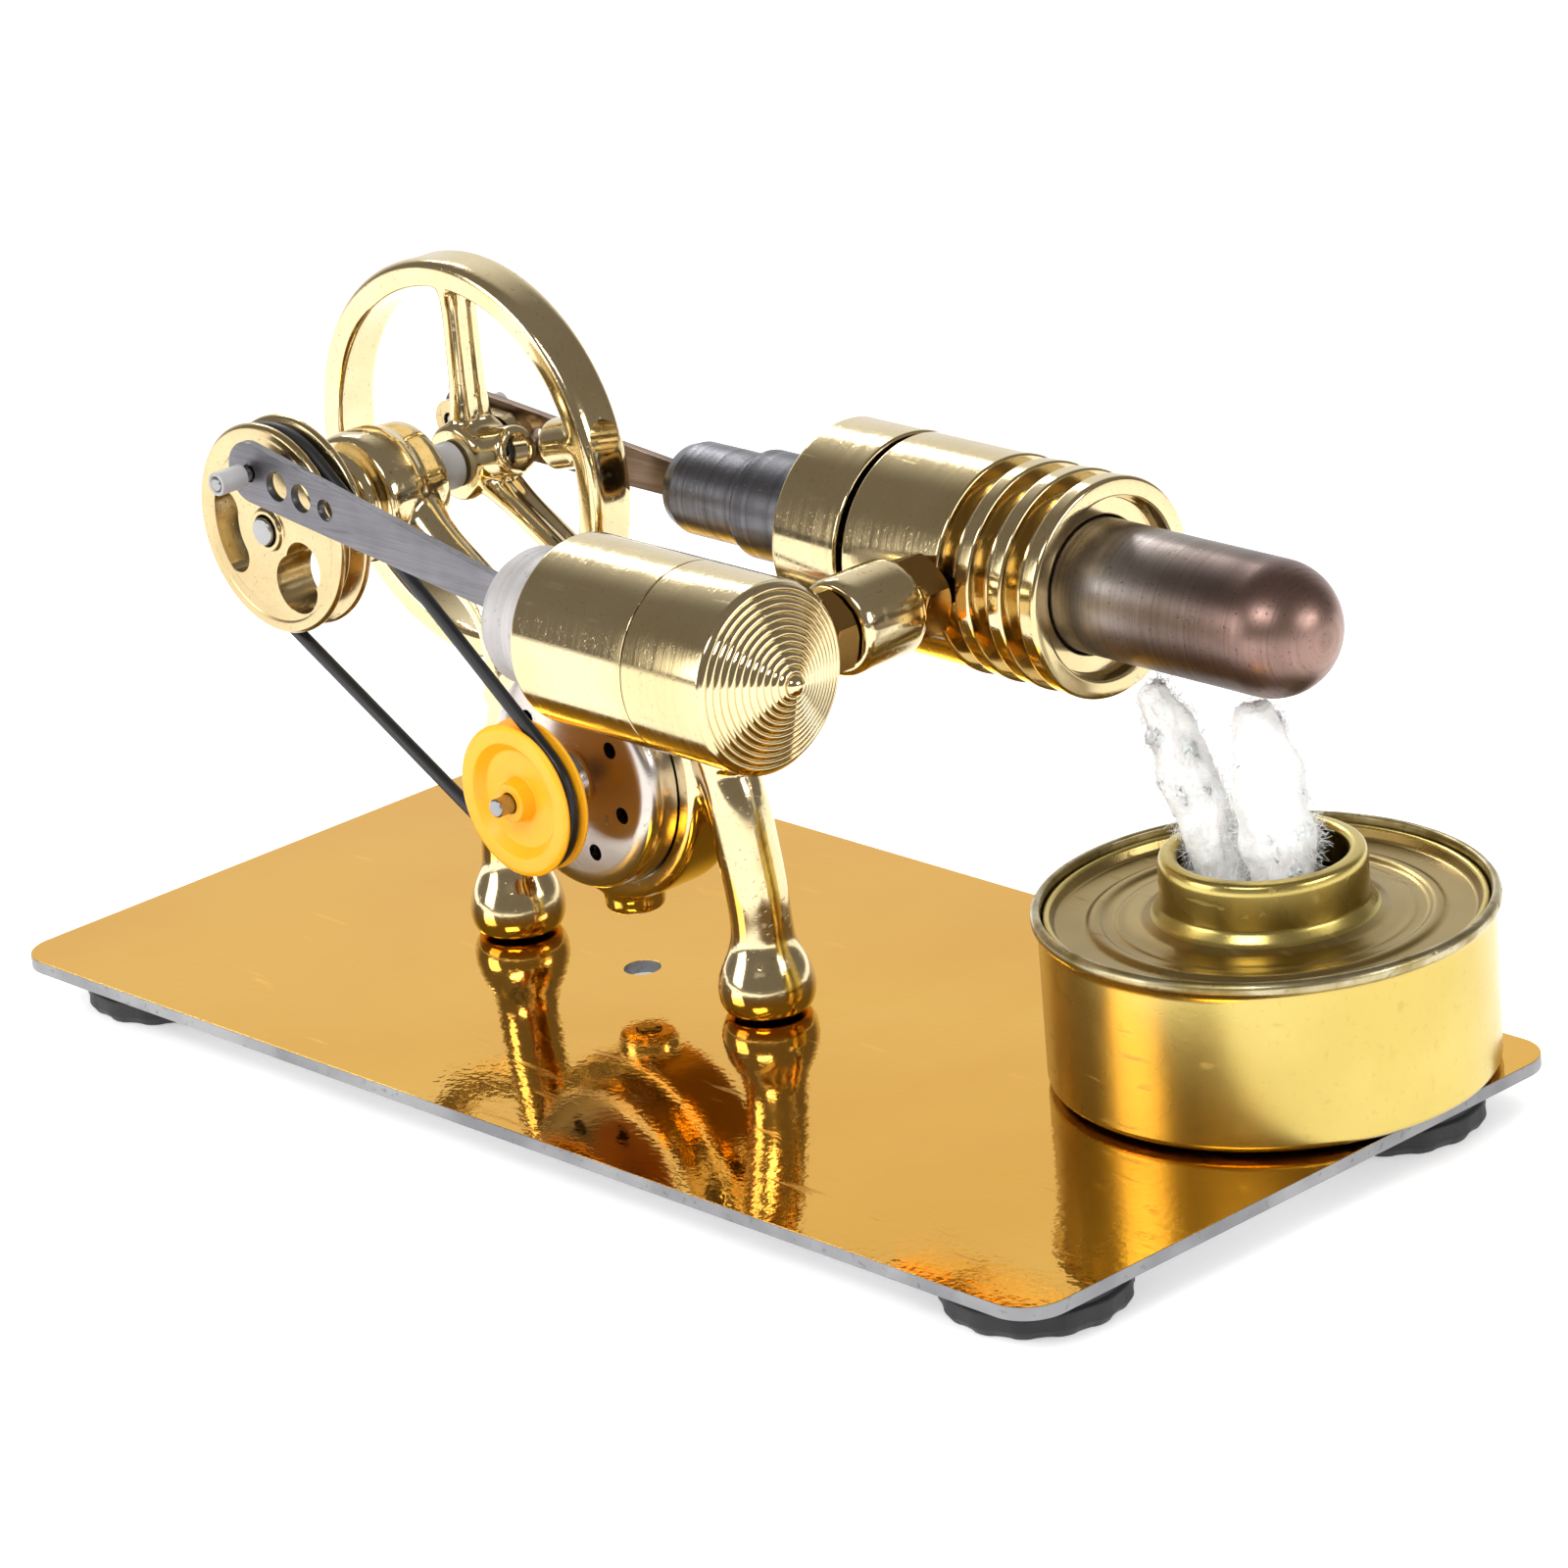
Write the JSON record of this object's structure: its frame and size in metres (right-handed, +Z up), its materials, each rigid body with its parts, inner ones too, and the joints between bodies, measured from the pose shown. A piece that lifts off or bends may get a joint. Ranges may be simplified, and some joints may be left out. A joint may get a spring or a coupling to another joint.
{
  "type": "stirling engine model",
  "caption": "Tabletop hot-air engine with parallel cylinders, crankshaft, flywheel and belt-driven generator on a base plate with a spirit burner.",
  "frame": {"origin": "centre of the base plate, at the table under the rubber feet", "axes": "+X along the plate to the burner and hot end, +Y across it to the flywheel side, +Z up"},
  "size_m": [0.1549, 0.0788, 0.0752],
  "materials": {
    "base_plate": "gold mirror film",
    "foot_front_left": "moulded",
    "foot_front_right": "moulded",
    "foot_rear_left": "moulded",
    "foot_rear_right": "moulded",
    "engine_frame": "polished pale gold plating",
    "leg_screw_left": "bare",
    "leg_screw_right": "bare",
    "motor_clamp_screw": "bare",
    "front_bearing": "black seal",
    "rear_bearing": "black seal",
    "front_hex_nut": "turned",
    "rear_hex_nut": "turned",
    "transfer_tube": "turned",
    "power_cylinder_liner": "turned",
    "power_cylinder_jacket": "polished pale gold plating",
    "power_cylinder_head": "polished pale gold plating",
    "displacer_guide": "turned",
    "guide_collar": "polished pale gold plating",
    "cooling_body": "polished pale gold plating",
    "rod_gland": "turned",
    "hot_tube": "heat tinted",
    "motor_can": "zinc plated",
    "motor_end_cap": "moulded",
    "motor_terminal_left": "copper",
    "motor_terminal_right": "copper",
    "drive_belt": "satin",
    "main_shaft": "turned",
    "crank_disc": "polished pale gold plating",
    "power_crank_pin": "turned",
    "flywheel": "polished pale gold plating",
    "flywheel_grub_screw": "turned",
    "shaft_spacer": "translucent silicone",
    "rear_crank_arm": "polished pale gold plating",
    "displacer_crank_pin": "turned",
    "motor_shaft": "turned",
    "motor_pulley": "moulded",
    "motor_rotor": "copper",
    "power_piston": "turned",
    "power_wrist_pin": "turned",
    "power_con_rod": "turned",
    "power_pin_end": "turned",
    "power_pin_retainer": "translucent silicone",
    "displacer_piston": "turned",
    "displacer_push_rod": "turned",
    "displacer_crosshead": "turned",
    "displacer_clevis_pin": "turned",
    "displacer_con_rod": "heat tinted",
    "displacer_pin_end": "turned",
    "displacer_pin_retainer": "translucent silicone",
    "burner_can": "gold lacquered tin",
    "burner_lid": "gold lacquered tin",
    "burner_wick_left": "braided cotton",
    "burner_wick_right": "braided cotton"
  },
  "bodies": {
    "base": {"base_plate": "base_plate", "foot_front_left": "foot_front_left", "foot_front_right": "foot_front_right", "foot_rear_left": "foot_rear_left", "foot_rear_right": "foot_rear_right", "engine_frame": "engine_frame", "leg_screw_left": "leg_screw_left", "leg_screw_right": "leg_screw_right", "motor_clamp_screw": "motor_clamp_screw", "front_bearing": "front_bearing", "rear_bearing": "rear_bearing", "front_hex_nut": "front_hex_nut", "rear_hex_nut": "rear_hex_nut", "transfer_tube": "transfer_tube", "power_cylinder_liner": "power_cylinder_liner", "power_cylinder_jacket": "power_cylinder_jacket", "power_cylinder_head": "power_cylinder_head", "displacer_guide": "displacer_guide", "guide_collar": "guide_collar", "cooling_body": "cooling_body", "rod_gland": "rod_gland", "hot_tube": "hot_tube", "motor_can": "motor_can", "motor_end_cap": "motor_end_cap", "motor_terminal_left": "motor_terminal_left", "motor_terminal_right": "motor_terminal_right", "drive_belt": "drive_belt"},
    "crankshaft": {"main_shaft": "main_shaft", "crank_disc": "crank_disc", "power_crank_pin": "power_crank_pin", "flywheel": "flywheel", "flywheel_grub_screw": "flywheel_grub_screw", "shaft_spacer": "shaft_spacer", "rear_crank_arm": "rear_crank_arm", "displacer_crank_pin": "displacer_crank_pin"},
    "motor_armature": {"motor_shaft": "motor_shaft", "motor_pulley": "motor_pulley", "motor_rotor": "motor_rotor"},
    "power_piston_set": {"power_piston": "power_piston", "power_wrist_pin": "power_wrist_pin"},
    "power_rod": {"power_con_rod": "power_con_rod", "power_pin_end": "power_pin_end", "power_pin_retainer": "power_pin_retainer"},
    "displacer_set": {"displacer_piston": "displacer_piston", "displacer_push_rod": "displacer_push_rod", "displacer_crosshead": "displacer_crosshead", "displacer_clevis_pin": "displacer_clevis_pin"},
    "displacer_rod": {"displacer_con_rod": "displacer_con_rod", "displacer_pin_end": "displacer_pin_end", "displacer_pin_retainer": "displacer_pin_retainer"},
    "burner": {"burner_can": "burner_can", "burner_lid": "burner_lid", "burner_wick_left": "burner_wick_left", "burner_wick_right": "burner_wick_right"}
  },
  "joints": [
    {"name": "crank_spin", "type": "hinge", "parent": "base", "child": "crankshaft", "pos_m": [-0.0502, 0, 0.053], "axis": [0, 1, 0], "continuous": true},
    {"name": "motor_spin", "type": "hinge", "parent": "base", "child": "motor_armature", "pos_m": [-0.0159, 0, 0.0298], "axis": [0, 1, 0], "continuous": true},
    {"name": "power_piston_slide", "type": "slide", "parent": "base", "child": "power_piston_set", "axis": [1, 0, 0], "range_m": [-0.00884, 0.00636]},
    {"name": "power_rod_swing", "type": "hinge", "parent": "power_piston_set", "child": "power_rod", "pos_m": [-0.00346, -0.0192, 0.053], "axis": [0, 1, 0], "range_deg": [-18.94, 0.29]},
    {"name": "displacer_slide", "type": "slide", "parent": "base", "child": "displacer_set", "axis": [1, 0, 0], "range_m": [-0.00018, 0.01502]},
    {"name": "displacer_rod_swing", "type": "hinge", "parent": "displacer_set", "child": "displacer_rod", "pos_m": [-0.01962, 0.0179, 0.053], "axis": [0, 1, 0], "range_deg": [-14.31, 8.76]},
    {"name": "burner_slide", "type": "slide", "parent": "base", "child": "burner", "axis": [0, -1, 0], "range_m": [0, 0.03]}
  ],
  "couplings": [
    {"joint": "motor_spin", "follows": "crank_spin", "ratio": 1.4482},
    {"joint": "displacer_rod_swing", "follows": "displacer_slide", "rad_per_m": -3.2228}
  ]
}
